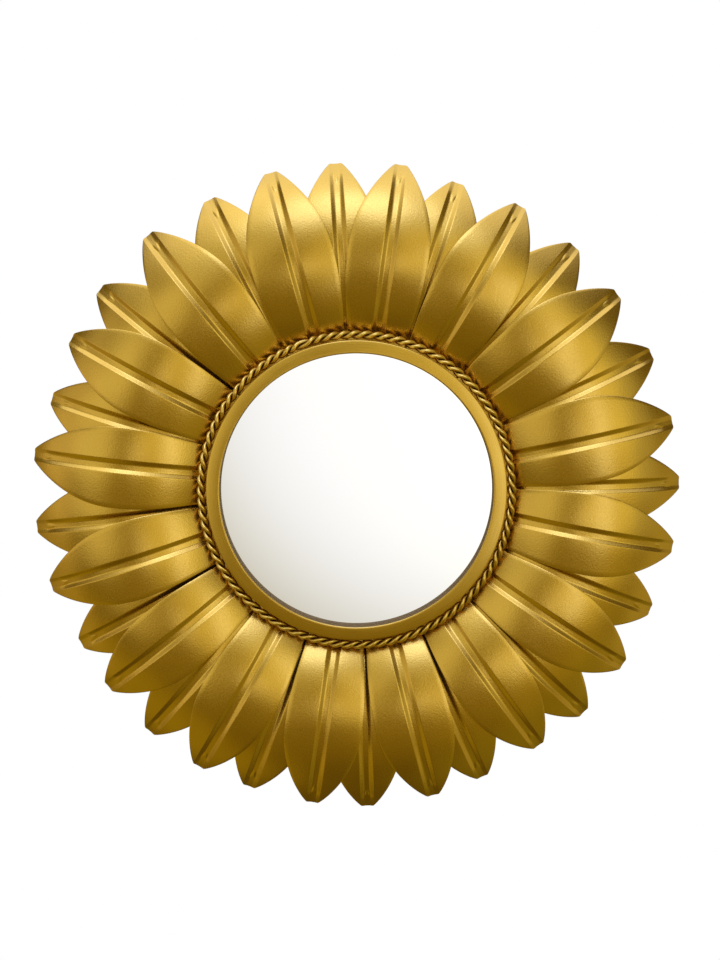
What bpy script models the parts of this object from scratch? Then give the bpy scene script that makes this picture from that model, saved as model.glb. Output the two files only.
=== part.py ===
# Round wall mirror shaped as a sunflower: two rings of pressed sheet-metal petals around a round glass
# in a flat ring frame, with a twisted wire rope in the corner between the frame and the petals.
# Metres, +Z up. The wall is the plane y = 0 and the glass faces -Y. The origin is the middle of the
# bracket's flat back, behind the middle of the glass.
import bpy
from math import asin, cos, pi, radians, sin, sqrt

MILLIMETRE = 0.001

# Fits and fineness
GAP = 0.0003                # air between pieces that touch
ROUND_STEPS = 48            # facets around the turned pieces
SHARP_EDGE = radians(28)    # edges that turn by more than this stay crisp

# Glass
GLASS_RADIUS = 0.1285
GLASS_THICK = 0.003
GLASS_RECESS = 0.016        # from the ring's face back to the glass
GLASS_EDGE_GAP = 0.0004     # around the glass in the ring's rebate

# Ring frame
RING_LIP = 0.0021           # how far the ring covers the glass's edge
RING_WIDTH = 0.0122
RING_ROUNDING = 0.0015      # the face's two edges

# Rope trim: two strands of wire laid around each other
ROPE_STRAND = 0.0041        # one strand's diameter
ROPE_LAY = 0.0205           # length of one full turn of a strand
ROPE_SIDE_GAP = 0.001       # from the ring's outer wall to the rope
ROPE_WAIST = 0.0022         # half the rope's thickness at the groove between the two strands
ROPE_SECTIONS = 6           # sections in one full turn

# Back plate
PLATE_THICK = 0.0035

# Petals
PETAL_SHEET = 0.0012
PETAL_WIDTH = 0.0745        # across the two curves of its outline, where petals are evenly set
PETAL_LENGTH = 0.1625       # from the bend at its root to its tip, seen from the front
PETAL_CREST = 0.0715        # from the bend to the most forward place
PETAL_WIDEST = 0.076        # from the bend to the widest place
PETAL_BOW = 0.12            # radius of the bow along its length
PETAL_TIP_WIDTH = 0.0124
PETAL_TIP_CURVE = 2.3       # power of the outline's curve from the widest place to the tip
PETAL_SLIT = 0.0018         # between the straight flanks of neighbours in one layer
PETAL_CAMBER = 0.0026       # how far the edges lie behind the middle where the petal is widest
PETAL_BEND_OUT = 0.0023     # from the ring's outer wall to the bend at the root
TAB_EDGE_GAP = 0.0012       # from the glass's edge to the flat tab at the root
OUTLINE_BLEND = 16          # how tightly the straight flank turns into the curve
FRONT_STEPS = (3, 5)        # rows from the rope to the crest, and from there to the tip
BACK_STEPS = (0, 4)         # the front layer hides these petals up to their crest

# Channel pressed down the middle of each petal
CHANNEL_WIDTH = 0.0127
CHANNEL_FLOOR = 0.0044
CHANNEL_DEPTH = 0.0035
CHANNEL_TIP_DEPTH = 0.0006
CHANNEL_TIP_SHARE = 0.86    # of the petal's width that the channel may take where the petal is narrow
CHANNEL_RUNOUT = 0.022      # length before the tip over which the channel gets shallow

# Where each petal is set, in degrees clockwise from the top: by hand, so they aren't quite even
FRONT_PLACES = (
    7.75, 30, 53.25, 78, 100.5, 123.5, 144.75, 166, 188, 209.5, 231.25, 252.25, 276, 297.75, 320.5, 344.75
)
BACK_PLACES = (
    18.25, 42, 65.5, 89, 112.5, 134.75, 156.5, 178, 199.75, 220.25, 240.5, 263, 286.5, 307.75, 333, 356.25
)

# How far each petal reaches past the length above, or falls short of it, in millimetres
FRONT_REACH = (0, 0, -0.5, -2, -2, -2.5, -6, -3.5, -2.5, 0, -4, -2.5, -0.5, -3.5, 2, 0.5)
BACK_REACH = (-4.5, 0, -0.5, -0.5, -4, -0.5, -4.5, 0, -1.5, 0, -5.5, -0.5, -7, -0.5, -2, -0.5)

# Wall bracket: a strap bent to a hat shape, with a keyhole for a screw
WALL_GAP = 0.002            # from the wall to the rearmost petal
BRACKET_SHEET = 0.002
BRACKET_WIDTH = 0.044
BRACKET_HALF_BACK = 0.044   # half the height of the flat against the wall
BRACKET_SPLAY = 0.006       # how far each leg leans out
BRACKET_FOOT = 0.026
KEYHOLE_UP = 0.018          # from the origin to the middle of the round hole
KEYHOLE_RADIUS = 0.005
KEYHOLE_SLOT_RADIUS = 0.0025
KEYHOLE_SLOT_UP = 0.012     # from the round hole to the top of the slot's run
KEYHOLE_STEPS = 16          # facets around the keyhole's round ends

# Colours, as (red, green, blue)
GOLD_PAINT = (0.62, 0.44, 0.11)
MIRROR_SILVER = (0.93, 0.94, 0.94)
BACK_PAINT = (0.33, 0.25, 0.09)
BRACKET_STEEL = (0.55, 0.55, 0.56)

# Radii that follow
RING_INNER = GLASS_RADIUS - RING_LIP
RING_OUTER = RING_INNER + RING_WIDTH
ROPE_RADIUS = ROPE_STRAND
ROPE_RING = RING_OUTER + ROPE_SIDE_GAP + ROPE_RADIUS
ROPE_OUTER = ROPE_RING + ROPE_RADIUS
BEND_RADIUS = RING_OUTER + PETAL_BEND_OUT
CREST_RADIUS = BEND_RADIUS + PETAL_CREST
WIDEST_RADIUS = BEND_RADIUS + PETAL_WIDEST
TAB_RADIUS = GLASS_RADIUS + TAB_EDGE_GAP

# Half the angle from one petal to the next where they are evenly set
EVEN_SECTOR = pi / len(FRONT_PLACES)

# The keyhole's cutters reach well through the strap
CUTTER_DEPTH = BRACKET_SHEET * 4

# Angles of the bow, from the crest: the sheet's tilt at the bend, beside the rope and at the tip
# of a back petal of the full length
BEND_TILT = -asin(PETAL_CREST / PETAL_BOW)
ROPE_TILT = asin((ROPE_OUTER - CREST_RADIUS) / PETAL_BOW)
TIP_TILT = asin((PETAL_LENGTH - PETAL_CREST) / PETAL_BOW)

# Depths behind the ring's face that follow
GLASS_BACK = GLASS_RECESS + GLASS_THICK
PLATE_FRONT = GLASS_BACK + GAP
PLATE_BACK = PLATE_FRONT + PLATE_THICK
FRONT_TAB = PLATE_FRONT - GAP - PETAL_SHEET
RING_BACK = FRONT_TAB - GAP
BACK_TAB = PLATE_BACK + GAP
CREST_RISE = PETAL_BOW * (1 - cos(BEND_TILT))
TIP_FALL = PETAL_BOW * (1 - cos(TIP_TILT))
TIP_SHEET = (CHANNEL_TIP_DEPTH + PETAL_SHEET) * cos(TIP_TILT)
REARMOST = BACK_TAB - CREST_RISE + TIP_FALL + TIP_SHEET
FACE_Y = -(REARMOST + WALL_GAP)

# The rope lies in the corner, just clear of the sloping sheet
ROPE_DEPTH = (
    FRONT_TAB
    - (ROPE_RING - BEND_RADIUS) * sqrt(1 / cos(BEND_TILT) ** 2 - 1)
    - (ROPE_RADIUS + GAP) / cos(BEND_TILT)
)


def clear_scene():
    for old in list(bpy.data.objects):
        bpy.data.objects.remove(old, do_unlink=True)


def new_collection(name):
    collection = bpy.data.collections.new(name)
    bpy.context.scene.collection.children.link(collection)
    return collection


def new_material(name, color, roughness, metallic):
    material = bpy.data.materials.new(name)
    material.use_nodes = True
    shader = material.node_tree.nodes["Principled BSDF"]
    shader.inputs["Base Color"].default_value = (*color, 1)
    shader.inputs["Roughness"].default_value = roughness
    shader.inputs["Metallic"].default_value = metallic
    material.diffuse_color = (*color, 1)
    return material


def place(name, data, material, collection, parent, depth=0.0):
    """An object at a depth behind the ring's face, measured towards the wall."""
    item = bpy.data.objects.new(name, data)
    item.location.y = FACE_Y + depth
    item.parent = parent
    data.materials.append(material)
    collection.objects.link(item)
    return item


def move_to(item, collection):
    for old in list(item.users_collection):
        old.objects.unlink(item)
    collection.objects.link(item)


def make_guide(item):
    """A cutter or a section is drawn as wire and isn't part of the mirror."""
    item.hide_render = True
    item.display_type = "WIRE"


def shade_round(mesh):
    mesh.shade_smooth()
    mesh.set_sharp_from_angle(angle=SHARP_EDGE)


def apply_modifiers(item):
    """The evaluated shape becomes the object's own mesh, with its round faces shaded smooth."""
    graph = bpy.context.evaluated_depsgraph_get()
    mesh = bpy.data.meshes.new_from_object(item.evaluated_get(graph))
    mesh.name = item.name
    item.modifiers.clear()
    item.data = mesh
    shade_round(mesh)


# Turned pieces


def turned(name, profile, material, collection, parent):
    """A closed outline of (radius, height towards the viewer), turned about the mirror's axis."""
    count = len(profile)
    mesh = bpy.data.meshes.new(name)
    edges = [(i, (i + 1) % count) for i in range(count)]
    mesh.from_pydata([(radius, 0, height) for radius, height in profile], edges, [])
    item = place(name, mesh, material, collection, parent)
    item.rotation_euler.x = radians(90)
    screw = item.modifiers.new("turn", "SCREW")
    screw.steps = ROUND_STEPS
    screw.render_steps = ROUND_STEPS
    screw.use_merge_vertices = True
    screw.merge_threshold = 0.00001
    apply_modifiers(item)


def ring_profile():
    """Down the outer wall, in under the ring, up the rebate and the lip, and back over the face."""
    rounding = RING_ROUNDING
    rebate = GLASS_RADIUS + GLASS_EDGE_GAP
    lip_back = GLASS_RECESS - GAP
    return [
        (RING_OUTER - rounding, 0),
        (RING_OUTER, -rounding),
        (RING_OUTER, -RING_BACK),
        (rebate, -RING_BACK),
        (rebate, -lip_back),
        (RING_INNER, -lip_back),
        (RING_INNER, -rounding),
        (RING_INNER + rounding, 0),
    ]


def disc(name, radius, front, thick, material, collection, parent):
    bpy.ops.mesh.primitive_cylinder_add(vertices=ROUND_STEPS, radius=radius, depth=thick)
    item = bpy.context.active_object
    move_to(item, collection)
    item.name = name
    item.data.name = name
    item.data.materials.append(material)
    item.rotation_euler.x = radians(90)
    item.location.y = FACE_Y + front + thick / 2
    item.parent = parent
    shade_round(item.data)


# Rope


def rope_profile(collection):
    """The rope's section: long across its two strands, narrow at the groove between them."""
    curve = bpy.data.curves.new("rope_section", "CURVE")
    curve.dimensions = "2D"
    spline = curve.splines.new("POLY")
    corners = [(ROPE_RADIUS, 0), (0, -ROPE_WAIST), (-ROPE_RADIUS, 0), (0, ROPE_WAIST)]
    spline.points.add(len(corners) - 1)
    for point, (across, along) in zip(spline.points, corners):
        point.co = (across, along, 0, 1)
    spline.use_cyclic_u = True
    section = bpy.data.objects.new("rope_section", curve)
    make_guide(section)
    collection.objects.link(section)
    return section


def build_rope(material, collection, guides, parent):
    """The section swept around the ring and turned as it goes, like wire laid in a rope.

    On the viewer's side each strand runs outwards as it goes clockwise.
    """
    turns = round(2 * pi * ROPE_RING / ROPE_LAY)
    count = turns * ROPE_SECTIONS
    curve = bpy.data.curves.new("rope_trim", "CURVE")
    curve.dimensions = "3D"
    curve.twist_mode = "Z_UP"
    curve.bevel_mode = "OBJECT"
    curve.bevel_object = rope_profile(guides)
    spline = curve.splines.new("POLY")
    spline.points.add(count - 1)
    for k, point in enumerate(spline.points):
        around = 2 * pi * k / count
        point.co = (ROPE_RING * cos(around), ROPE_RING * sin(around), 0, 1)
        point.tilt = -2 * pi * (k % ROPE_SECTIONS) / ROPE_SECTIONS
    spline.use_cyclic_u = True
    rope = place("rope_trim", curve, material, collection, parent, ROPE_DEPTH)
    rope.rotation_euler.x = radians(90)


# Petals


def half_width(radius, sector, tip_radius):
    """The petal's width to one side: a straight flank beside its neighbour, then a curve to the tip.

    The sector is the angle from the petal's middle to halfway towards that neighbour.
    """
    flank = radius * sin(sector) - PETAL_SLIT / 2
    outward = max(radius - WIDEST_RADIUS, 0) / (tip_radius - WIDEST_RADIUS)
    widest = PETAL_WIDTH / 2 * sector / EVEN_SECTOR
    curve = widest - (widest - PETAL_TIP_WIDTH / 2) * outward ** PETAL_TIP_CURVE
    blend = OUTLINE_BLEND
    return (flank ** -blend + curve ** -blend) ** (-1 / blend)


def channel_depth(radius, tip_radius):
    """The channel is shallow at the tip and has its full depth a little before it."""
    part = min((tip_radius - radius) / CHANNEL_RUNOUT, 1)
    return CHANNEL_TIP_DEPTH + (CHANNEL_DEPTH - CHANNEL_TIP_DEPTH) * part


def petal_row(radius, depth, tilt, pressed, sectors, tip_radius):
    """One row of points across the petal. Pressed is 0 on the flat tab and 1 past the rope."""
    left, right = (half_width(radius, sector, tip_radius) for sector in sectors)
    channel = min(CHANNEL_WIDTH / 2, CHANNEL_TIP_SHARE * min(left, right))
    floor = channel * CHANNEL_FLOOR / CHANNEL_WIDTH
    fall = PETAL_CAMBER / (PETAL_WIDTH / 2 - CHANNEL_WIDTH / 2)
    sunk = channel_depth(radius, tip_radius)
    shape = [
        (-left, fall * (left - channel)),
        (-channel, 0),
        (-floor, sunk),
        (floor, sunk),
        (channel, 0),
        (right, fall * (right - channel)),
    ]
    row = []
    for x, down in shape:
        down *= pressed
        row.append((x, depth + down * cos(tilt), radius - down * sin(tilt)))
    return row


def bow_row(tilt, sectors, tip_radius):
    """A row on the bow, where the sheet is tilted by this angle from facing straight ahead."""
    radius = CREST_RADIUS + PETAL_BOW * sin(tilt)
    depth = PETAL_BOW * (1 - cos(tilt)) - CREST_RISE
    return petal_row(radius, depth, tilt, 1, sectors, tip_radius)


def petal_mesh(name, sectors, tip_radius, inner_steps, outer_steps):
    """The open sheet of one petal, pointing up, with its tab's front at depth 0."""
    tip_tilt = asin((tip_radius - CREST_RADIUS) / PETAL_BOW)
    rows = [petal_row(radius, 0, 0, 0, sectors, tip_radius) for radius in (TAB_RADIUS, BEND_RADIUS)]
    for k in range(inner_steps):
        rows.append(bow_row(ROPE_TILT * (1 - k / inner_steps), sectors, tip_radius))
    for k in range(outer_steps + 1):
        rows.append(bow_row(tip_tilt * k / outer_steps, sectors, tip_radius))
    wide = len(rows[0])
    points = [point for row in rows for point in row]
    faces = []
    for i in range(len(rows) - 1):
        for j in range(wide - 1):
            a = i * wide + j
            faces.append((a, a + 1, a + wide + 1, a + wide))
    mesh = bpy.data.meshes.new(name)
    mesh.from_pydata(points, [], faces)
    return mesh


def petal_layer(name, places, reaches, steps, tab_depth, material, collection, parent):
    around = [places[-1] - 360, *places, places[0] + 360]
    for k, (before, own, after) in enumerate(zip(around, around[1:], around[2:])):
        sectors = (radians(own - before) / 2, radians(after - own) / 2)
        tip_radius = BEND_RADIUS + PETAL_LENGTH + reaches[k] * MILLIMETRE
        title = f"{name}_{k + 1:02d}"
        mesh = petal_mesh(title, sectors, tip_radius, *steps)
        petal = place(title, mesh, material, collection, parent, tab_depth)
        petal.rotation_euler.y = radians(own)
        sheet = petal.modifiers.new("sheet", "SOLIDIFY")
        sheet.thickness = PETAL_SHEET
        sheet.offset = -1
        sheet.use_even_offset = True
        apply_modifiers(petal)


# Wall bracket


def keyhole_cutter(name, radius, height, collection):
    bpy.ops.mesh.primitive_cylinder_add(vertices=KEYHOLE_STEPS, radius=radius, depth=CUTTER_DEPTH)
    cutter = bpy.context.active_object
    move_to(cutter, collection)
    cutter.name = name
    cutter.rotation_euler.x = radians(90)
    cutter.location.z = height
    make_guide(cutter)
    return cutter


def slot_cutter(collection):
    bpy.ops.mesh.primitive_cube_add(size=1)
    cutter = bpy.context.active_object
    move_to(cutter, collection)
    cutter.name = "keyhole_slot"
    cutter.scale = (KEYHOLE_SLOT_RADIUS * 2, CUTTER_DEPTH, KEYHOLE_SLOT_UP)
    cutter.location.z = KEYHOLE_UP + KEYHOLE_SLOT_UP / 2
    make_guide(cutter)
    return cutter


def build_bracket(material, collection, cutters, parent):
    """A strap bent to a hat shape: feet on the plate, flat back on the wall, keyhole in the flat."""
    foot_y = FACE_Y + PLATE_BACK + GAP + BRACKET_SHEET
    leg = BRACKET_HALF_BACK + BRACKET_SPLAY
    side = [(leg + BRACKET_FOOT, foot_y), (leg, foot_y), (BRACKET_HALF_BACK, 0)]
    path = side + [(-z, y) for z, y in reversed(side)]
    half = BRACKET_WIDTH / 2
    points = [(x, y, z) for z, y in path for x in (half, -half)]
    faces = [(2 * i, 2 * i + 1, 2 * i + 3, 2 * i + 2) for i in range(len(path) - 1)]
    mesh = bpy.data.meshes.new("wall_bracket")
    mesh.from_pydata(points, [], faces)
    bracket = place("wall_bracket", mesh, material, collection, parent, -FACE_Y)
    strap = bracket.modifiers.new("strap", "SOLIDIFY")
    strap.thickness = BRACKET_SHEET
    strap.offset = 1
    strap.use_even_offset = True
    for cutter in (
        keyhole_cutter("keyhole_round", KEYHOLE_RADIUS, KEYHOLE_UP, cutters),
        slot_cutter(cutters),
        keyhole_cutter("keyhole_top", KEYHOLE_SLOT_RADIUS, KEYHOLE_UP + KEYHOLE_SLOT_UP, cutters),
    ):
        cut = bracket.modifiers.new(cutter.name, "BOOLEAN")
        cut.operation = "DIFFERENCE"
        cut.object = cutter


def build():
    clear_scene()
    pieces = new_collection("sunflower_wall_mirror")
    guides = new_collection("sunflower_wall_mirror_guides")
    axis = bpy.data.objects.new("mirror_axis", None)
    pieces.objects.link(axis)

    gold = new_material("gold_paint", GOLD_PAINT, 0.38, 0.9)
    silver = new_material("mirror_silver", MIRROR_SILVER, 0.03, 1.0)
    dark = new_material("back_paint", BACK_PAINT, 0.5, 0.7)
    steel = new_material("bracket_steel", BRACKET_STEEL, 0.4, 1.0)

    turned("ring_frame", ring_profile(), gold, pieces, axis)
    disc("mirror_glass", GLASS_RADIUS, GLASS_RECESS, GLASS_THICK, silver, pieces, axis)
    disc("back_plate", RING_OUTER, PLATE_FRONT, PLATE_THICK, dark, pieces, axis)
    build_rope(gold, pieces, guides, axis)

    petal_layer("front_petal", FRONT_PLACES, FRONT_REACH, FRONT_STEPS, FRONT_TAB, gold, pieces, axis)
    petal_layer("back_petal", BACK_PLACES, BACK_REACH, BACK_STEPS, BACK_TAB, gold, pieces, axis)

    build_bracket(steel, pieces, guides, axis)


build()
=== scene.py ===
import random
from math import asin, atan2, cos, pi, radians, sin

import bmesh
import bpy
import numpy as np
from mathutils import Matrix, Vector


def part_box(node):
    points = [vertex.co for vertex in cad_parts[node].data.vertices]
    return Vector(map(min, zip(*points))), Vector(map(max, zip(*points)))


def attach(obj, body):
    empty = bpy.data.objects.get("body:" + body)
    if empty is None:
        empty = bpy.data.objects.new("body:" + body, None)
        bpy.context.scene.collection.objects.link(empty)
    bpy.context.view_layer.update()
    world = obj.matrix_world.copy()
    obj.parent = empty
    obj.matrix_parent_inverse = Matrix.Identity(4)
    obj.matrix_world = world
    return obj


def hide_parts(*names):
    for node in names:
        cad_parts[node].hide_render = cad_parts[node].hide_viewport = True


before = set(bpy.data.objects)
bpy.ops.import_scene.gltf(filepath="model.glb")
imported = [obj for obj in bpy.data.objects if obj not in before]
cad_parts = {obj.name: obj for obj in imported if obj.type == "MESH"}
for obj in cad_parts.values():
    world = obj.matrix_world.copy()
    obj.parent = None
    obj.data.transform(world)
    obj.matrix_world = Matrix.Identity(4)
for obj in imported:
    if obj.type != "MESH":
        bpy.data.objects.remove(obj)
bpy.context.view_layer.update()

# A round sunflower wall mirror: two layers of pressed petals, a ring frame, a laid wire rope,
# the glass, a back plate and a wall bracket. Metres, +Z up, the glass faces -Y, the wall is y = 0.

ringLow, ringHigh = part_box("ring_frame")
glassLow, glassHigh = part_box("mirror_glass")
plateLow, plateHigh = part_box("back_plate")
ropeLow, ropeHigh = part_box("rope_trim")
faceY = ringLow.y            # the ring's face, towards the viewer
ringOuter = ringHigh.x
glassRadius = glassHigh.x
print("frame loaded, the ring's face is at", round(faceY, 4))


# Camera

camera = {
    "distance": 2.0,         # from the ring's face
    "lookingDown": 4.3,      # degrees
    "right": 0.0032,         # what it looks at, from the middle of the glass
    "up": 0.0103,
    "lens": 81.62,           # millimetres
    "longSide": 36,          # of the picture in the camera, millimetres
}


def addCamera():
    data = bpy.data.cameras.new("camera")
    data.lens = camera["lens"]
    data.sensor_width = camera["longSide"]
    item = bpy.data.objects.new("camera", data)
    bpy.context.scene.collection.objects.link(item)
    down = radians(camera["lookingDown"])
    back = camera["distance"]
    item.location = (camera["right"], faceY - back * cos(down), camera["up"] + back * sin(down))
    item.rotation_euler = (pi / 2 - down, 0, 0)
    bpy.context.scene.camera = item


addCamera()


# Numbers inside a node tree, so that a formula in this script reads as one

def feed(tree, socket, value):
    # a plain value is typed into the socket, and another node's output is linked to it
    if isinstance(value, Num):
        tree.links.new(value.socket, socket)
    else:
        socket.default_value = value


def mathNode(tree, operation, *values):
    node = tree.nodes.new("ShaderNodeMath")
    node.operation = operation
    for socket, value in zip(node.inputs, values):
        feed(tree, socket, value)
    return Num(tree, node.outputs[0])


class Num:
    def __init__(self, tree, socket):
        self.tree = tree
        self.socket = socket

    def calc(self, operation, *others):
        return mathNode(self.tree, operation, self, *others)

    def __add__(self, other):
        return self.calc("ADD", other)

    def __sub__(self, other):
        return self.calc("SUBTRACT", other)

    def __mul__(self, other):
        return self.calc("MULTIPLY", other)

    def __truediv__(self, other):
        return self.calc("DIVIDE", other)

    def __pow__(self, other):
        return self.calc("POWER", other)

    def __neg__(self):
        return self.calc("MULTIPLY", -1.0)

    def __rsub__(self, other):
        return mathNode(self.tree, "SUBTRACT", other, self)

    def __rtruediv__(self, other):
        return mathNode(self.tree, "DIVIDE", other, self)

    __radd__ = __add__
    __rmul__ = __mul__

    def spread(self, fromLow, fromHigh, toLow=0.0, toHigh=1.0, kind="LINEAR"):
        # one range laid over another, and held at its ends
        node = self.tree.nodes.new("ShaderNodeMapRange")
        node.interpolation_type = kind
        node.clamp = True
        for socket, value in zip(node.inputs, (self, fromLow, fromHigh, toLow, toHigh)):
            feed(self.tree, socket, value)
        return Num(self.tree, node.outputs[0])


def addNode(tree, kind, links=None, **settings):
    # returns the new node's first output
    node = tree.nodes.new(kind)
    for key, value in settings.items():
        setattr(node, key, value)
    for title, value in (links or {}).items():
        feed(tree, node.inputs[title], value)
    return Num(tree, node.outputs[0])


def vector(tree, x, y, z):
    return addNode(tree, "ShaderNodeCombineXYZ", {"X": x, "Y": y, "Z": z})


def splitUp(tree, source):
    node = tree.nodes.new("ShaderNodeSeparateXYZ")
    feed(tree, node.inputs[0], source)
    return [Num(tree, out) for out in node.outputs]


# Geometry Nodes: named inputs in, a plain mesh out

def newTree(name, numbers):
    tree = bpy.data.node_groups.new(name, "GeometryNodeTree")
    tree.is_modifier = True
    tree.interface.new_socket("Geometry", in_out="OUTPUT", socket_type="NodeSocketGeometry")
    for title in numbers:
        tree.interface.new_socket(title, in_out="INPUT", socket_type="NodeSocketFloat")
    tree.interface.new_socket("Material", in_out="INPUT", socket_type="NodeSocketMaterial")
    entry = tree.nodes.new("NodeGroupInput")
    given = {title: Num(tree, entry.outputs[title]) for title in (*numbers, "Material")}
    return tree, given


def closeTree(tree, mesh, material):
    # smooth shading, then real geometry with its material, as the export needs it
    smooth = addNode(tree, "GeometryNodeSetShadeSmooth", {"Geometry": mesh})
    real = addNode(tree, "GeometryNodeRealizeInstances", {"Geometry": smooth})
    painted = addNode(tree, "GeometryNodeSetMaterial", {"Geometry": real, "Material": material})
    feed(tree, tree.nodes.new("NodeGroupOutput").inputs[0], painted)


def keepNumber(tree, mesh, name, value):
    # a number at each point of the mesh, for the material to read
    return addNode(
        tree, "GeometryNodeStoreNamedAttribute", {"Geometry": mesh, "Name": name, "Value": value},
        data_type="FLOAT", domain="POINT",
    )


def growPiece(name, tree, values, material, extras=()):
    # the tree's result, with its finishing modifiers, as a plain mesh in an object at the origin
    grower = bpy.data.objects.new(name + "_grower", bpy.data.meshes.new(name + "_grower"))
    bpy.context.scene.collection.objects.link(grower)
    grow = grower.modifiers.new("grow", "NODES")
    grow.node_group = tree
    for socket in tree.interface.items_tree:
        if socket.in_out == "INPUT":
            grow[socket.identifier] = material if socket.name == "Material" else values[socket.name]
    for kind, settings in extras:
        extra = grower.modifiers.new(kind.lower(), kind)
        for key, value in settings.items():
            setattr(extra, key, value)
    graph = bpy.context.evaluated_depsgraph_get()
    mesh = bpy.data.meshes.new_from_object(grower.evaluated_get(graph))
    mesh.name = name
    grower.modifiers.clear()
    bpy.data.objects.remove(grower)
    return addPiece(name, mesh)


def addPiece(name, mesh):
    piece = bpy.data.objects.new(name, mesh)
    bpy.context.scene.collection.objects.link(piece)
    return piece


def settle(piece, nodeName):
    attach(piece, "root")
    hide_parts(nodeName)


# Materials

def newMaterial(name, settings):
    # the Principled shader's own sockets hold what is the same all over
    material = bpy.data.materials.new(name)
    material.use_nodes = True
    tree = material.node_tree
    shader = tree.nodes["Principled BSDF"]
    for title, value in settings["shader"].items():
        shader.inputs[title].default_value = value
    return material, tree, shader


def objectPlace(tree):
    node = tree.nodes.new("ShaderNodeTexCoord")
    return Num(tree, node.outputs["Object"])


def noise(tree, place, size, detail=1.0):
    return addNode(
        tree, "ShaderNodeTexNoise", {"Vector": place, "Scale": 1 / size, "Detail": detail}
    )


def readNumber(tree, name):
    node = tree.nodes.new("ShaderNodeAttribute")
    node.attribute_name = name
    return Num(tree, node.outputs["Fac"])


def blend(tree, share, first, second, kind="MIX"):
    node = tree.nodes.new("ShaderNodeMix")
    node.data_type = "RGBA"
    node.blend_type = kind
    feed(tree, node.inputs["Factor"], share)
    for socket, value in ((node.inputs[6], first), (node.inputs[7], second)):
        feed(tree, socket, value if isinstance(value, Num) else (*value, 1))
    return Num(tree, node.outputs[2])


def bump(tree, height, distance):
    return addNode(tree, "ShaderNodeBump", {"Height": height, "Distance": distance})


stipple = {
    "coarseScale": 0.37,      # the coarse grains' scale against the fine ones'
    "coarseShare": 0.15,
}


def makeStipple():
    # sprayed paint: fine grains, sparse coarse ones, and a slow change of tone
    group = bpy.data.node_groups.new("sprayedPaint", "ShaderNodeTree")
    group.interface.new_socket("Vector", in_out="INPUT", socket_type="NodeSocketVector")
    for title, size in (("Grain size", 0.001), ("Tone size", 0.05)):
        given = group.interface.new_socket(title, in_out="INPUT", socket_type="NodeSocketFloat")
        given.default_value = size
    for title in ("Grain", "Tone"):
        group.interface.new_socket(title, in_out="OUTPUT", socket_type="NodeSocketFloat")
    entry = group.nodes.new("NodeGroupInput")
    place, grainSize, toneSize = [Num(group, socket) for socket in entry.outputs[:3]]
    fine = noise(group, place, grainSize)
    coarse = noise(group, place, grainSize / stipple["coarseScale"])
    share = stipple["coarseShare"]
    result = group.nodes.new("NodeGroupOutput")
    feed(group, result.inputs["Grain"], fine * (1 - share) + coarse * share)
    feed(group, result.inputs["Tone"], noise(group, place, toneSize, 2.0))
    return group


sprayedPaint = makeStipple()


def spray(tree, paint):
    node = tree.nodes.new("ShaderNodeGroup")
    node.node_tree = sprayedPaint
    feed(tree, node.inputs["Vector"], objectPlace(tree))
    node.inputs["Grain size"].default_value = paint["grainSize"]
    node.inputs["Tone size"].default_value = paint["toneSize"]
    return Num(tree, node.outputs["Grain"]), Num(tree, node.outputs["Tone"])


def toned(tree, tone, paint):
    # the paint's two colours, changing slowly from one to the other
    return blend(tree, tone.spread(0.3, 0.7), paint["deep"], paint["pale"])


petalPaint = {
    "shader": {"Metallic": 1.0, "Coat Weight": 0.45, "Coat Roughness": 0.25},
    "deep": (0.57, 0.345, 0.045),
    "pale": (0.62, 0.385, 0.055),
    # the root's colour is painted shade, darker where the petal bends in beside the rope
    "root": (0.42, 0.23, 0.03),
    "rootShadeReach": 0.10,        # share of the bow over which the painted shade at the root fades out
    "rootShadeShare": 0.5,
    "roughness": 0.29,
    "roughnessSpread": 0.15,
    "grainSize": 0.0015,
    "grainHeight": 0.00011,
    "toneSize": 0.05,
}


def makePetalGold():
    material, tree, shader = newMaterial("petal_gold", petalPaint)
    grain, tone = spray(tree, petalPaint)
    # painted shade: the petal darkens towards its root, beside the rope
    reach, share = petalPaint["rootShadeReach"], petalPaint["rootShadeShare"]
    shadedRoot = readNumber(tree, "outward").spread(0.0, reach, share, 0.0)
    colour = blend(tree, shadedRoot, toned(tree, tone, petalPaint), petalPaint["root"])
    feed(tree, shader.inputs["Base Color"], colour)
    rough = petalPaint["roughness"] + (grain - 0.5) * petalPaint["roughnessSpread"]
    feed(tree, shader.inputs["Roughness"], rough)
    feed(tree, shader.inputs["Normal"], bump(tree, grain, petalPaint["grainHeight"]))
    return material


ringPaint = {
    "shader": {"Coat Roughness": 0.25},
    "deep": (0.57, 0.345, 0.04),
    "pale": (0.62, 0.385, 0.05),
    "coat": 0.5,
    "bare": (0.16, 0.085, 0.012),      # painted shade on the ring's inner wall, behind the lip
    "shadeRoughness": 0.5,      # how much rougher it is there
    "shadeStartsAt": 0.0008,       # depth behind the face at which the painted shade starts
    "shadeFullAt": 0.0022,
    "roughness": 0.3,
    "roughnessSpread": 0.2,
    "brushLength": 0.03,       # of one brush mark, around the ring
    "brushWidth": 0.0006,
    "brushHeight": 0.00003,
    "brushShare": 0.7,         # of the relief, and the rest is grain
    "grainSize": 0.0011,
    "toneSize": 0.04,
}


def aroundPlace(tree, lengthwise, crosswise):
    # the place unrolled along the ring: marks are long around it and narrow across it
    x, y, z = splitUp(tree, objectPlace(tree))
    around = mathNode(tree, "ARCTAN2", x, z) * (ringOuter / lengthwise)
    out = mathNode(tree, "SQRT", x * x + z * z) / crosswise
    return vector(tree, around, y / crosswise, out)


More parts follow.
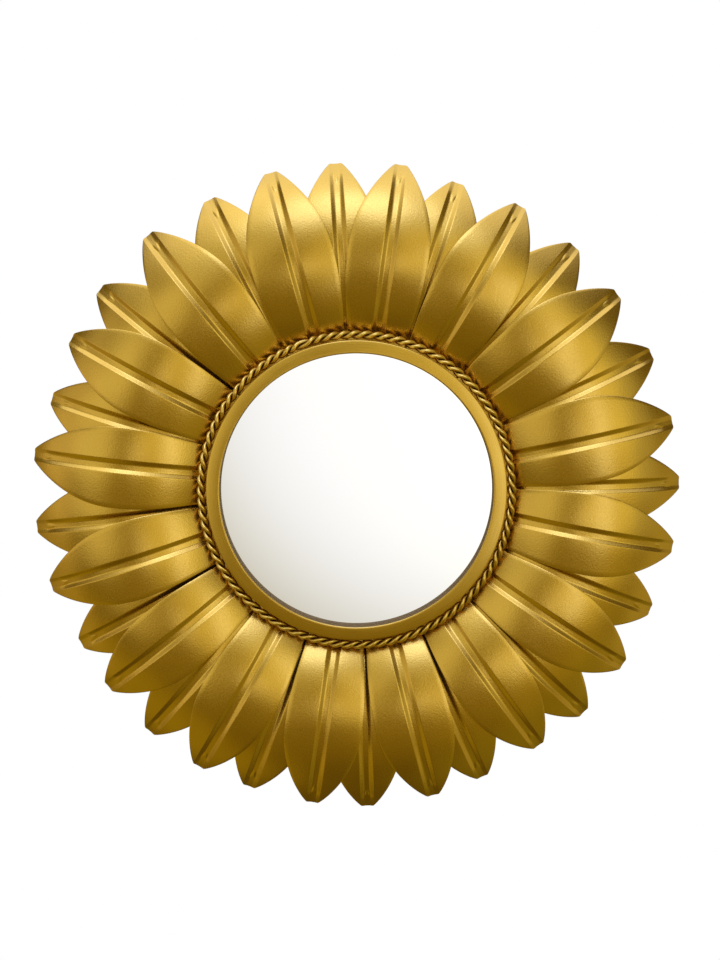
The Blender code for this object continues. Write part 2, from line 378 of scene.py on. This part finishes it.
def makeRingGold():
    material, tree, shader = newMaterial("ring_gold", ringPaint)
    unrolled = aroundPlace(tree, ringPaint["brushLength"], ringPaint["brushWidth"])
    brushed = noise(tree, unrolled, 1.0, 3.0)
    grain, tone = spray(tree, ringPaint)
    # painted shade: inside the ring, behind its face, the gold turns dark, rough, not metallic and
    # without coat
    x, y, z = splitUp(tree, objectPlace(tree))
    inside = mathNode(tree, "SQRT", x * x + z * z).calc("LESS_THAN", glassRadius)
    bare = inside * (y - faceY).spread(ringPaint["shadeStartsAt"], ringPaint["shadeFullAt"])
    painted = 1.0 - bare
    colour = blend(tree, bare, toned(tree, tone, ringPaint), ringPaint["bare"])
    feed(tree, shader.inputs["Base Color"], colour)
    rough = ringPaint["roughness"] + (brushed - 0.5) * ringPaint["roughnessSpread"]
    feed(tree, shader.inputs["Roughness"], rough + bare * ringPaint["shadeRoughness"])
    feed(tree, shader.inputs["Metallic"], painted)
    feed(tree, shader.inputs["Coat Weight"], painted * ringPaint["coat"])
    share = ringPaint["brushShare"]
    relief = brushed * share + grain * (1 - share)
    feed(tree, shader.inputs["Normal"], bump(tree, relief, ringPaint["brushHeight"]))
    return material


ropePaint = {
    "shader": {"Metallic": 1.0, "Coat Weight": 0.4, "Coat Roughness": 0.15},
    "lobe": (0.66, 0.45, 0.09),
    "groove": (0.22, 0.11, 0.01),
    "grooveToLobe": (0.35, 0.8),   # from the rope's core outwards, in wire diameters: the painted shade in the grooves gives way to the lobes' gold
    "roughness": 0.28,
    "roughnessSpread": 0.2,
    "grainSize": 0.0009,
    "grainHeight": 0.00003,
    "toneSize": 0.02,
}


def makeRopeGold():
    material, tree, shader = newMaterial("rope_gold", ropePaint)
    grain, tone = spray(tree, ropePaint)
    # painted shade: dark between the wires, near the rope's core
    raised = readNumber(tree, "raised").spread(*ropePaint["grooveToLobe"])
    colour = blend(tree, raised, ropePaint["groove"], ropePaint["lobe"])
    feed(tree, shader.inputs["Base Color"], colour)
    rough = ropePaint["roughness"] + (tone - 0.5) * ropePaint["roughnessSpread"]
    feed(tree, shader.inputs["Roughness"], rough)
    feed(tree, shader.inputs["Normal"], bump(tree, grain, ropePaint["grainHeight"]))
    return material


mirrorFinish = {
    "shader": {"Metallic": 1.0, "Base Color": (0.94, 0.95, 0.95, 1)},
    "smudgeSize": 0.05,
    "smudgeRange": (0.4, 0.8),     # of the noise, from polished to smudged
    "roughness": (0.012, 0.03),
}


def makeMirrorSilver():
    material, tree, shader = newMaterial("mirror_silver", mirrorFinish)
    smudge = noise(tree, objectPlace(tree), mirrorFinish["smudgeSize"], 4.0)
    polish = smudge.spread(*mirrorFinish["smudgeRange"], *mirrorFinish["roughness"])
    feed(tree, shader.inputs["Roughness"], polish)
    return material


backFinish = {
    "shader": {"Metallic": 0.85},
    "bare": (0.24, 0.20, 0.13),
    "sprayed": (0.40, 0.29, 0.08),
    "sprayRange": (0.38, 0.62),    # of the noise, from bare to sprayed
    "ragged": 0.5,                 # how much the grain breaks up the spray's edges
    "roughness": (0.42, 0.58),
    "grainSize": 0.0016,
    "grainHeight": 0.00005,
    "toneSize": 0.06,
}


def makeBackPaint():
    material, tree, shader = newMaterial("back_paint", backFinish)
    grain, tone = spray(tree, backFinish)
    cover = (tone + (grain - 0.5) * backFinish["ragged"]).spread(*backFinish["sprayRange"])
    colour = blend(tree, cover, backFinish["bare"], backFinish["sprayed"])
    feed(tree, shader.inputs["Base Color"], colour)
    feed(tree, shader.inputs["Roughness"], cover.spread(0.0, 1.0, *backFinish["roughness"]))
    feed(tree, shader.inputs["Normal"], bump(tree, grain, backFinish["grainHeight"]))
    return material


steelFinish = {
    "shader": {"Metallic": 1.0},
    "dark": (0.42, 0.43, 0.45),
    "light": (0.62, 0.63, 0.64),
    "spangleSize": 0.006,          # of the zinc's patches
    "spangleRange": (0.35, 0.65),
    "brushLength": 0.02,
    "brushWidth": 0.0005,
    "brushHeight": 0.00002,
    "brushRange": (0.2, 0.8),
    "roughness": (0.26, 0.44),
}


def makeBracketSteel():
    material, tree, shader = newMaterial("bracket_steel", steelFinish)
    x, y, z = splitUp(tree, objectPlace(tree))
    across, along = steelFinish["brushWidth"], steelFinish["brushLength"]
    marks = noise(tree, vector(tree, x / across, y / across, z / along), 1.0, 2.0)
    spangle = noise(tree, objectPlace(tree), steelFinish["spangleSize"], 0.0)
    patchy = spangle.spread(*steelFinish["spangleRange"])
    colour = blend(tree, patchy, steelFinish["dark"], steelFinish["light"])
    feed(tree, shader.inputs["Base Color"], colour)
    rough = marks.spread(*steelFinish["brushRange"], *steelFinish["roughness"])
    feed(tree, shader.inputs["Roughness"], rough)
    feed(tree, shader.inputs["Normal"], bump(tree, marks, steelFinish["brushHeight"]))
    return material


petalGold = makePetalGold()
ringGold = makeRingGold()
ropeGold = makeRopeGold()
mirrorSilver = makeMirrorSilver()
backPaint = makeBackPaint()
bracketSteel = makeBracketSteel()
print("materials made")


# Petals: a sheet pressed over a form, bowed along its length, with a sunken channel down its middle

petal = {
    "crest": 0.0715,          # from the bend at the root to the most forward place
    "widest": 0.076,
    "bow": 0.12,              # radius of the bow
    "bendOut": 0.0023,        # from the ring's outer wall to the bend
    "tabEdge": 0.0012,        # from the glass's edge to the tab at the root
    "width": 0.0745,
    "tipWidth": 0.0124,
    "tipCurve": 2.3,
    "tipRound": 0.0014,       # how far the tip's corners fall back
    "tipRoundAcross": 5.0,    # the higher, the nearer to the corner the fall starts
    "tipRoundAlong": 24.0,
    "slit": 0.0012,
    "outlineBlend": 16.0,
    "camber": 0.0026,
    "camberCurve": 1.6,
    "sheet": 0.0012,
    "rim": 0.0006,            # the sheet's outermost strip, rolled over by the press
    "rimRoll": 0.00018,
    "rimRound": 0.0003,
    "channelWidth": 0.0127,
    "channelFloor": 0.0050,
    "channelDepth": 0.0025,
    "channelTipDepth": 0.0007,
    "channelTipShare": 0.86,
    "channelWall": 1.05,      # 1 is a straight wall, and more rounds the floor's edge
    "channelRunout": 0.022,   # from the tip back to the full depth
    "runoutShare": 0.65,      # of the depth that comes slowly, and the rest comes at the arch
    "channelEnd": 0.0165,     # from the tip back to the arch at which the floor ends
    "channelArch": 0.005,     # how far the arch's feet lie nearer to the tip
    "archBlur": 0.0025,
    "reliefFrom": 0.05,       # share of the bow over which the relief comes in
    "dent": 0.00015,          # slow unevenness of the pressed sheet
    "dentSize": 0.045,
    "twist": 0.012,           # radians, at most
    "halfCells": 21,          # cells from the middle to the edge
    "channelCells": 9,        # of them, across half the channel
    "lipCrowding": 1.6,       # how closely the flank's cells crowd towards the channel's lip
    "rows": 119,
    "tabRows": 4,
    "seed": 5,
}

petalInputs = (
    "Turn", "Tab depth", "Left sector", "Right sector", "Even sector", "Seed", "Twist",
    "Tab radius", "Bend radius", "Crest radius", "Widest radius", "Tip radius", "Bow",
    "Bend tilt", "Tip tilt", "Width", "Tip width", "Tip curve", "Tip round", "Slit", "Blend",
    "Camber", "Rim", "Rim roll", "Channel width", "Channel floor", "Channel depth",
    "Channel tip depth", "Channel tip share", "Channel runout", "Channel end", "Channel arch",
    "Dent", "Dent size",
)


def makePetalTree():
    tree, given = newTree("petalSheet", petalInputs)
    grid = addNode(tree, "GeometryNodeMeshGrid", {
        "Size X": 2.0, "Size Y": 1.0,
        "Vertices X": petal["halfCells"] * 2 + 1, "Vertices Y": petal["rows"] + 1,
    })
    across, along, _ = splitUp(tree, addNode(tree, "GeometryNodeInputPosition"))
    along = along + 0.5
    aside = across.calc("ABSOLUTE")
    rightward = across.calc("GREATER_THAN", 0.0)

    # along the petal: the flat tab, the bow, and the rim at the tip
    tabShare = petal["tabRows"] / petal["rows"]
    rimShare = 1 - 1 / petal["rows"]
    rimTurn = given["Rim"] / given["Bow"]
    onBow = along.spread(tabShare, rimShare)
    bowed = given["Tip tilt"] - rimTurn - given["Bend tilt"]
    tilt = given["Bend tilt"] + bowed * onBow + rimTurn * along.spread(rimShare, 1.0)
    tabLength = given["Bend radius"] - given["Tab radius"]
    onTab = tabLength * (along.spread(0.0, tabShare) - 1.0)
    radius = given["Crest radius"] + given["Bow"] * tilt.calc("SINE") + onTab

    # the outline: a straight flank beside the neighbour, then a curve to the tip
    sector = given["Left sector"] + (given["Right sector"] - given["Left sector"]) * rightward
    flank = radius * sector.calc("SINE") - given["Slit"] * 0.5
    outward = radius.spread(given["Widest radius"], given["Tip radius"])
    widest = given["Width"] * 0.5 * sector / given["Even sector"]
    curve = widest - (widest - given["Tip width"] * 0.5) * outward ** given["Tip curve"]
    power = -given["Blend"]
    half = (flank ** power + curve ** power) ** (1.0 / power)

    # across the petal: the channel takes the middle cells and the rim the last one
    lip = petal["channelCells"] / petal["halfCells"]
    rimCell = 1 - 1 / petal["halfCells"]
    channel = (given["Channel width"] * 0.5).calc("MINIMUM", half * given["Channel tip share"])
    inner = aside.spread(0.0, lip)
    outer = aside.spread(lip, rimCell) ** petal["lipCrowding"]
    onRim = aside.spread(rimCell, 1.0)
    distance = channel * inner + (half - channel - given["Rim"]) * outer + given["Rim"] * onRim
    x = distance * across.calc("SIGN")

    # the tip's corners are rounded
    cornerwards = (distance / half) ** petal["tipRoundAcross"] * along ** petal["tipRoundAlong"]
    fallBack = given["Tip round"] * cornerwards
    tilt = tilt - fallBack / given["Bow"]
    radius = radius - fallBack * tilt.calc("COSINE")
    depth = given["Bow"] * (given["Bend tilt"].calc("COSINE") - tilt.calc("COSINE"))

    # relief: the channel, the camber, the rolled rim, slow dents and a slight twist
    floorShare = given["Channel floor"] / given["Channel width"]
    sunk = 1.0 - inner.spread(floorShare, 1.0) ** petal["channelWall"]
    fromTip = given["Tip radius"] - radius
    arch = given["Channel end"] - given["Channel arch"] * inner.spread(0.0, floorShare) ** 2.0
    blur, slowly = petal["archBlur"], petal["runoutShare"]
    ended = (fromTip - arch).spread(-blur, blur, kind="SMOOTHSTEP")
    fullDepth = fromTip.spread(0.0, given["Channel runout"]) * slowly + ended * (1 - slowly)
    tipDepth = given["Channel tip depth"]
    relief = sunk * (tipDepth + (given["Channel depth"] - tipDepth) * fullDepth)
    flankWidth = (given["Width"] - given["Channel width"]) * 0.5
    flankShare = (distance - channel) / flankWidth
    bowl = flankShare.calc("MAXIMUM", 0.0) ** petal["camberCurve"]
    relief = relief + given["Camber"] * bowl + given["Rim roll"] * onRim
    spot = vector(tree, x, given["Seed"], radius)
    perDent = 1.0 / given["Dent size"]
    dents = addNode(tree, "ShaderNodeTexNoise", {"Vector": spot, "Scale": perDent, "Detail": 1.0})
    relief = relief + dents * given["Dent"] * 2.0 + x * given["Twist"]
    relief = relief * onBow.spread(0.0, petal["reliefFrom"], kind="SMOOTHSTEP")

    back, inward = relief * tilt.calc("COSINE"), relief * tilt.calc("SINE")
    place = vector(tree, x, depth + back, radius - inward)
    sheet = addNode(tree, "GeometryNodeSetPosition", {"Geometry": grid, "Position": place})
    sheet = keepNumber(tree, sheet, "outward", onBow)
    upright = addNode(tree, "GeometryNodeTransform", {
        "Geometry": sheet,
        "Rotation": vector(tree, 0.0, given["Turn"], 0.0),
        "Translation": vector(tree, 0.0, given["Tab depth"], 0.0),
    })
    closeTree(tree, upright, given["Material"])
    return tree


def petalTip(nodeName):
    # read off the CAD petal: where it points, clockwise from the top, and how far its tip reaches
    spots = np.array([tuple(v.co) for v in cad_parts[nodeName].data.vertices])
    reach = np.hypot(spots[:, 0], spots[:, 2])
    tip = spots[reach > reach.max() * 0.985].mean(axis=0)
    turn = atan2(tip[0], tip[2])
    return turn, float((spots[:, 0] * sin(turn) + spots[:, 2] * cos(turn)).max())


def petalSizes():
    # what every petal is given alike: first what is worked out, then what is named as in petal
    bendRadius = ringOuter + petal["bendOut"]
    sizes = {
        "Tab radius": glassRadius + petal["tabEdge"],
        "Bend radius": bendRadius,
        "Crest radius": bendRadius + petal["crest"],
        "Widest radius": bendRadius + petal["widest"],
        "Bend tilt": -asin(petal["crest"] / petal["bow"]),
        "Blend": petal["outlineBlend"],
    }
    for title in petalInputs:
        joined = title.title().replace(" ", "")
        key = joined[0].lower() + joined[1:]
        if key in petal:
            sizes[title] = petal[key]
    return sizes


def addPetals(layer, tree, chance):
    names = sorted(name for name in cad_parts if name.startswith(layer))
    tips = [petalTip(name) for name in names]
    sizes = petalSizes()
    crestRise = petal["bow"] * (1 - cos(sizes["Bend tilt"]))
    for k, name in enumerate(names):
        turn, tipRadius = tips[k]
        toLeft = (turn - tips[k - 1][0]) % (2 * pi)
        toRight = (tips[(k + 1) % len(names)][0] - turn) % (2 * pi)
        values = dict(sizes)
        values["Turn"] = turn
        values["Tip radius"] = tipRadius
        values["Tip tilt"] = asin((tipRadius - sizes["Crest radius"]) / petal["bow"])
        values["Tab depth"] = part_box(name)[0].y + crestRise
        values["Left sector"] = toLeft / 2
        values["Right sector"] = toRight / 2
        values["Even sector"] = pi / len(names)
        values["Seed"] = chance.uniform(0, 9)
        values["Twist"] = chance.uniform(-petal["twist"], petal["twist"])
        finish = (
            ("SOLIDIFY", {"thickness": petal["sheet"], "offset": -1}),
            ("BEVEL", {"width": petal["rimRound"], "segments": 2, "angle_limit": radians(60)}),
        )
        settle(growPiece(name + "_sheet", tree, values, petalGold, finish), name)


petalTree = makePetalTree()
petalChance = random.Random(petal["seed"])
addPetals("front_petal", petalTree, petalChance)
addPetals("back_petal", petalTree, petalChance)
print("petals made")


# Rope: two wires laid around each other, closed in a ring, with an untidy join

rope = {
    "strand": 0.0041,         # diameter of one wire
    "turns": 44,
    "perTurn": 20,            # sections in one turn of a wire
    "sides": 12,
    "join": 340,              # degrees clockwise from the top, where the ends meet
    "joinWidth": 2.6,         # degrees
    "joinSlip": 1.2,          # radians by which the wires lag there
}


ropeInputs = ("Ring", "Strand", "Depth", "Turns", "Join", "Join width", "Slip")


def makeRopeTree():
    tree, given = newTree("ropeStrands", ropeInputs)
    count = rope["turns"] * rope["perTurn"]
    circle = {"Resolution": count, "Radius": given["Ring"]}
    core = addNode(tree, "GeometryNodeCurvePrimitiveCircle", circle)
    index = addNode(tree, "GeometryNodeInputIndex")
    turned = index * (2 * pi / count)
    fromJoin = mathNode(tree, "WRAP", turned - given["Join"], pi, -pi) / given["Join width"]
    lag = given["Slip"] * fromJoin * (-(fromJoin * fromJoin) * 0.5).calc("EXPONENT")
    reach = given["Strand"] * 0.5
    strands = tree.nodes.new("GeometryNodeJoinGeometry")
    for start in (0.0, pi):
        laid = turned * given["Turns"] - lag + start
        out = given["Ring"] + reach * laid.calc("COSINE")
        toViewer = given["Depth"] - reach * laid.calc("SINE")
        place = vector(tree, out * turned.calc("COSINE"), toViewer, out * turned.calc("SINE"))
        wire = addNode(tree, "GeometryNodeSetPosition", {"Geometry": core, "Position": place})
        section = addNode(
            tree, "GeometryNodeCurvePrimitiveCircle", {"Resolution": rope["sides"], "Radius": reach}
        )
        tube = addNode(tree, "GeometryNodeCurveToMesh", {"Curve": wire, "Profile Curve": section})
        feed(tree, strands.inputs[0], tube)
    both = Num(tree, strands.outputs[0])
    x, y, z = splitUp(tree, addNode(tree, "GeometryNodeInputPosition"))
    fromRing = mathNode(tree, "SQRT", x * x + z * z) - given["Ring"]
    fromCore = y - given["Depth"]
    raised = mathNode(tree, "SQRT", fromRing * fromRing + fromCore * fromCore) / given["Strand"]
    both = keepNumber(tree, both, "raised", raised)
    closeTree(tree, both, given["Material"])
    return tree


def addRope():
    values = {
        "Ring": ropeHigh.x - rope["strand"],
        "Strand": rope["strand"],
        "Depth": (ropeLow.y + ropeHigh.y) / 2,
        "Turns": rope["turns"],
        "Join": radians(90 - rope["join"]),
        "Join width": radians(rope["joinWidth"]),
        "Slip": rope["joinSlip"],
    }
    settle(growPiece("rope_strands", makeRopeTree(), values, ropeGold), "rope_trim")


addRope()
print("rope made")


# Turned pieces: a closed outline of (radius, y), turned about the mirror's axis

def roundedCorner(corner, before, after, radius, steps=5):
    # the corner of an outline, replaced by a short curve from one side to the other
    corner = Vector(corner)
    start = corner + (Vector(before) - corner).normalized() * radius
    end = corner + (Vector(after) - corner).normalized() * radius
    points = []
    for k in range(steps + 1):
        t = k / steps
        points.append(start.lerp(corner, t).lerp(corner.lerp(end, t), t))
    return points


def roundedOutline(corners):
    # corners as (radius, y, rounding)
    outline = []
    for k, (out, y, rounding) in enumerate(corners):
        before = corners[k - 1][:2]
        after = corners[(k + 1) % len(corners)][:2]
        if rounding:
            outline.extend(roundedCorner((out, y), before, after, rounding))
        else:
            outline.append(Vector((out, y)))
    return outline


def turnOutline(name, outline, steps, material, crisp=radians(40)):
    shape = bmesh.new()
    rings = []
    for k in range(steps):
        turn = 2 * pi * k / steps
        rings.append([shape.verts.new((p.x * sin(turn), p.y, p.x * cos(turn))) for p in outline])
    count = len(outline)
    for k in range(steps):
        here, there = rings[k], rings[(k + 1) % steps]
        for j in range(count):
            n = (j + 1) % count
            shape.faces.new((here[j], here[n], there[n], there[j]))
    bmesh.ops.remove_doubles(shape, verts=shape.verts, dist=1e-6)
    bmesh.ops.recalc_face_normals(shape, faces=shape.faces)
    mesh = bpy.data.meshes.new(name)
    shape.to_mesh(mesh)
    shape.free()
    mesh.shade_smooth()
    mesh.set_sharp_from_angle(angle=crisp)
    mesh.materials.append(material)
    return addPiece(name, mesh)


ring = {
    "lip": 0.0021,            # how far it covers the glass's edge
    "rebateGap": 0.0004,
    "glassGap": 0.0003,       # between the lip's back and the glass
    "innerRound": 0.0013,
    "outerRound": 0.0010,
    "edgeRound": 0.0003,
    "innerTilt": 4.0,         # degrees by which the face falls back, at its inner edge
    "outerTilt": 13.0,        # and at its outer edge
    "faceSteps": 12,
    "roundedShare": 0.15,     # of the face at each edge, left to the rounding
    "steps": 256,
}


def addRing():
    inner = glassRadius - ring["lip"]
    rebate = glassRadius + ring["rebateGap"]
    lipBack = glassLow.y - ring["glassGap"]
    wide = ringOuter - inner
    start, growth = radians(ring["innerTilt"]), radians(ring["outerTilt"] - ring["innerTilt"])
    corners = [(inner, lipBack, ring["edgeRound"])]
    for k in range(ring["faceSteps"] + 1):
        share = k / ring["faceSteps"]
        fall = wide * (start * share + growth * share * share / 2)
        rounding = {0: ring["innerRound"], ring["faceSteps"]: ring["outerRound"]}.get(k, 0)
        if rounding or ring["roundedShare"] < share < 1 - ring["roundedShare"]:
            corners.append((inner + wide * share, faceY + fall, rounding))
    corners += [
        (ringOuter, ringHigh.y, ring["edgeRound"]),
        (rebate, ringHigh.y, ring["edgeRound"]),
        (rebate, lipBack, 0),
    ]
    piece = turnOutline("ring_frame_turned", roundedOutline(corners), ring["steps"], ringGold)
    settle(piece, "ring_frame")


addRing()

plate = {
    "rimRound": 0.0014,
    "beadAt": (0.118, 0.072),  # radii of the two pressed beads on its back
    "beadWidth": 0.006,
    "beadHeight": 0.0009,
    "beadSteps": 8,
    "steps": 192,
}


def addPlate():
    # the beads rise from a back that lies a little inside the CAD plate's back
    out = plateHigh.x
    front, back = plateLow.y, plateHigh.y - plate["beadHeight"]
    corners = [(0.0, front, 0), (out, front, plate["rimRound"]), (out, back, plate["rimRound"])]
    outline = roundedOutline(corners + [(0.0, back, 0)])[:-1]
    for middle in plate["beadAt"]:
        half = plate["beadWidth"] / 2
        for k in range(plate["beadSteps"] + 1):
            share = 2 * k / plate["beadSteps"] - 1
            rise = plate["beadHeight"] * (1 + cos(pi * share)) / 2
            outline.append(Vector((middle - half * share, back + rise)))
    outline.append(Vector((0.0, back)))
    piece = turnOutline("back_plate_turned", outline, plate["steps"], backPaint)
    settle(piece, "back_plate")


addPlate()
print("ring and plate made")


# Wall bracket: a strap bent to a hat shape, with a keyhole in its flat back

bracket = {
    "sheet": 0.002,
    "halfBack": 0.044,
    "splay": 0.006,
    "bendRadius": 0.003,
    "bendSteps": 6,
    "keyholeUp": 0.018,
    "keyholeRadius": 0.005,
    "keyholeSteps": 28,
    "slotRadius": 0.0025,
    "slotUp": 0.012,
    "slotSteps": 12,
    "edgeRound": 0.0004,
}


def strapPath():
    # the strap's wall side, from its upper foot to its lower foot, as (z, y)
    low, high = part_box("wall_bracket")
    footY = low.y + bracket["sheet"]
    leg = bracket["halfBack"] + bracket["splay"]
    upper = [(high.z, footY), (leg, footY), (bracket["halfBack"], high.y)]
    corners = upper + [(-z, y) for z, y in reversed(upper)]
    radius, steps = bracket["bendRadius"], bracket["bendSteps"]
    path = [Vector(corners[0])]
    for before, corner, after in zip(corners, corners[1:], corners[2:]):
        path.extend(roundedCorner(corner, before, after, radius, steps))
    path.append(Vector(corners[-1]))
    return path


def keyholeOutline():
    # the round hole with the slot above it, as (x, z), counterclockwise from the front
    up, slotTop = bracket["keyholeUp"], bracket["keyholeUp"] + bracket["slotUp"]
    wide, narrow = bracket["keyholeRadius"], bracket["slotRadius"]
    holeSteps, slotSteps = bracket["keyholeSteps"], bracket["slotSteps"]
    start = asin(narrow / wide)
    outline = []
    for k in range(holeSteps + 1):
        turn = start + (2 * pi - 2 * start) * k / holeSteps
        outline.append((-wide * sin(turn), up + wide * cos(turn)))
    for k in range(slotSteps + 1):
        turn = pi * k / slotSteps
        outline.append((narrow * cos(turn), slotTop + narrow * sin(turn)))
    return outline


def bendStrap():
    # the wall side of the strap, as a surface whose faces point to the wall
    low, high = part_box("wall_bracket")
    strap = bmesh.new()
    rows = [[strap.verts.new((x, p.y, p.x)) for x in (low.x, high.x)] for p in strapPath()]
    for here, there in zip(rows, rows[1:]):
        strap.faces.new((here[0], here[1], there[1], there[0]))
    bmesh.ops.recalc_face_normals(strap, faces=strap.faces)
    middle = min(strap.faces, key=lambda f: f.calc_center_median().length)
    if middle.normal.y < 0:
        bmesh.ops.reverse_faces(strap, faces=strap.faces)
    mesh = bpy.data.meshes.new("wall_bracket_bent")
    strap.to_mesh(mesh)
    strap.free()
    return addPiece("wall_bracket_bent", mesh)


def makeCutter():
    # the keyhole as a solid that passes through the strap's back
    low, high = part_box("wall_bracket")
    hole = bmesh.new()
    near, far = low.y * 0.5, high.y + bracket["sheet"]
    front = [hole.verts.new((x, near, z)) for x, z in keyholeOutline()]
    back = [hole.verts.new((x, far, z)) for x, z in keyholeOutline()]
    hole.faces.new(front)
    hole.faces.new(back)
    for k in range(len(front)):
        hole.faces.new((front[k - 1], front[k], back[k], back[k - 1]))
    bmesh.ops.recalc_face_normals(hole, faces=hole.faces)
    mesh = bpy.data.meshes.new("keyhole")
    hole.to_mesh(mesh)
    hole.free()
    return addPiece("keyhole", mesh)


def addBracket():
    piece = bendStrap()
    cutter = makeCutter()
    for kind, settings in (
        ("SOLIDIFY", {"thickness": bracket["sheet"], "offset": -1, "use_even_offset": True}),
        ("BOOLEAN", {"operation": "DIFFERENCE", "object": cutter}),
        ("BEVEL", {"width": bracket["edgeRound"], "segments": 2, "angle_limit": radians(50)}),
    ):
        made = piece.modifiers.new(kind.lower(), kind)
        for key, value in settings.items():
            setattr(made, key, value)
    graph = bpy.context.evaluated_depsgraph_get()
    finished = bpy.data.meshes.new_from_object(piece.evaluated_get(graph))
    piece.modifiers.clear()
    piece.data = finished
    bpy.data.objects.remove(cutter)
    finished.shade_smooth()
    finished.set_sharp_from_angle(angle=radians(30))
    finished.materials.clear()
    finished.materials.append(bracketSteel)
    settle(piece, "wall_bracket")


addBracket()

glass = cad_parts["mirror_glass"]
glass.data.materials.clear()
glass.data.materials.append(mirrorSilver)
print("bracket and glass made")


# Floor, light and what the mirror sees

studio = {
    "floorDrop": 0.75,        # below the mirror's middle
    "floorFront": -1.6,
    "floorBack": 0.85,
    "floorSide": 1.3,
    "floorColour": (0.80, 0.79, 0.77),
    "shadeSize": 0.4,         # of the floor's faint patches
    "shadeDepth": 0.97,
}

softboxes = {
    "rightStrip": {
        "azimuth": 29, "elevation": 3, "distance": 1.8, "wide": 0.5, "tall": 1.2,
        "glow": 0.85, "tint": (0.8, 1.0, 1.9),
    },
}

everywhere = (0.15, 0.11, 0.012)      # the room's own dim warm light

# The room that the gold mirrors, as soft glows: azimuth and elevation of the middle, core, reach,
# level. A glow is all there within its core and gone at its reach. All but the level are degrees.
glows = {
    "wholeFront": (0, -4, 22, 64, (0.14, 0.11, 0.008)),
    "behindCamera": (3, -1, 4, 11, (0.76, 0.81, 1.00)),      # what the glass shows
    "rightWindow": (27, 9, 11, 32, (0.62, 0.60, 0.26)),
    "leftWindow": (-37, 5, 7, 26, (0.74, 0.78, 0.70)),
    "farRight": (55, 6, 8, 26, (0.50, 0.53, 0.38)),
    "lowMidRight": (42, -22, 6, 24, (0.18, 0.15, 0.02)),
    "farLeft": (-70, 8, 8, 26, (0.62, 0.59, 0.50)),
    "rightWall": (92, -15, 10, 32, (0.38, 0.35, 0.15)),
    "leftWall": (-88, -15, 8, 30, (0.32, 0.27, 0.12)),
    "lowLeft": (-70, -50, 10, 34, (0.26, 0.22, 0.01)),
    "lowRight": (70, -50, 10, 34, (0.16, 0.16, 0.02)),
    "upperLeft": (-22, 35, 8, 26, (0.46, 0.49, 0.40)),
    "upperRight": (18, 38, 6, 20, (0.42, 0.46, 0.44)),
    "highLeft": (-60, 50, 10, 30, (0.36, 0.38, 0.34)),
    "overhead": (0, 52, 7, 19, (1.40, 1.88, 4.4)),
    "ceiling": (0, 90, 18, 56, (1.30, 1.41, 1.9)),
}


def addFloor():
    front, back, side = studio["floorFront"], studio["floorBack"], studio["floorSide"]
    drop = -studio["floorDrop"]
    shape = bmesh.new()
    corners = ((-side, front, drop), (side, front, drop), (side, back, drop), (-side, back, drop))
    shape.faces.new([shape.verts.new(corner) for corner in corners])
    mesh = bpy.data.meshes.new("studio_floor")
    shape.to_mesh(mesh)
    shape.free()
    material, tree, shader = newMaterial("floor_paint", {"shader": {"Roughness": 0.6}})
    shade = noise(tree, objectPlace(tree), studio["shadeSize"], 2.0)
    pale = studio["floorColour"]
    colour = blend(tree, shade, pale, [share * studio["shadeDepth"] for share in pale])
    feed(tree, shader.inputs["Base Color"], colour)
    mesh.materials.append(material)
    floor = addPiece("studio_floor", mesh)
    floor.visible_glossy = False        # the petals mirror the dim lower half of the room instead


def towards(azimuth, elevation):
    # from the mirror: azimuth to the right of straight ahead, elevation above it
    side, up = radians(azimuth), radians(elevation)
    return Vector((sin(side) * cos(up), -cos(side) * cos(up), sin(up)))


def addSoftbox(name, settings):
    data = bpy.data.lights.new(name, "AREA")
    data.shape = "RECTANGLE"
    data.size = settings["wide"]
    data.size_y = settings["tall"]
    data.energy = settings["glow"] * pi * settings["wide"] * settings["tall"]
    data.color = settings["tint"]
    item = bpy.data.objects.new(name, data)
    bpy.context.scene.collection.objects.link(item)
    away = towards(settings["azimuth"], settings["elevation"])
    item.location = Vector((0, faceY, 0)) + away * settings["distance"]
    item.rotation_euler = away.to_track_quat("Z", "Y").to_euler()


def addRoom():
    # the glows, added up, and plain white to the camera itself
    world = bpy.data.worlds.new("studio_room")
    bpy.context.scene.world = world
    world.use_nodes = True
    tree = world.node_tree
    tree.nodes.clear()
    look = tree.nodes.new("ShaderNodeTexCoord")
    x, y, z = splitUp(tree, Num(tree, look.outputs["Generated"]))
    colour = everywhere
    for azimuth, elevation, core, reach, level in glows.values():
        middle = towards(azimuth, elevation)
        facing = x * middle.x + y * middle.y + z * middle.z
        share = facing.spread(cos(radians(reach)), cos(radians(core)), kind="SMOOTHSTEP")
        colour = blend(tree, share, colour, level, "ADD")
    room = addNode(tree, "ShaderNodeBackground", {"Color": colour, "Strength": 1.0})
    backdrop = addNode(tree, "ShaderNodeBackground", {"Color": (1, 1, 1, 1), "Strength": 1.0})
    path = tree.nodes.new("ShaderNodeLightPath")
    mix = tree.nodes.new("ShaderNodeMixShader")
    tree.links.new(path.outputs["Is Camera Ray"], mix.inputs[0])
    tree.links.new(room.socket, mix.inputs[1])
    tree.links.new(backdrop.socket, mix.inputs[2])
    tree.links.new(mix.outputs[0], tree.nodes.new("ShaderNodeOutputWorld").inputs[0])


addFloor()
for name, settings in softboxes.items():
    addSoftbox(name, settings)
addRoom()
bpy.context.scene.view_settings.view_transform = "Standard"
print("studio made")
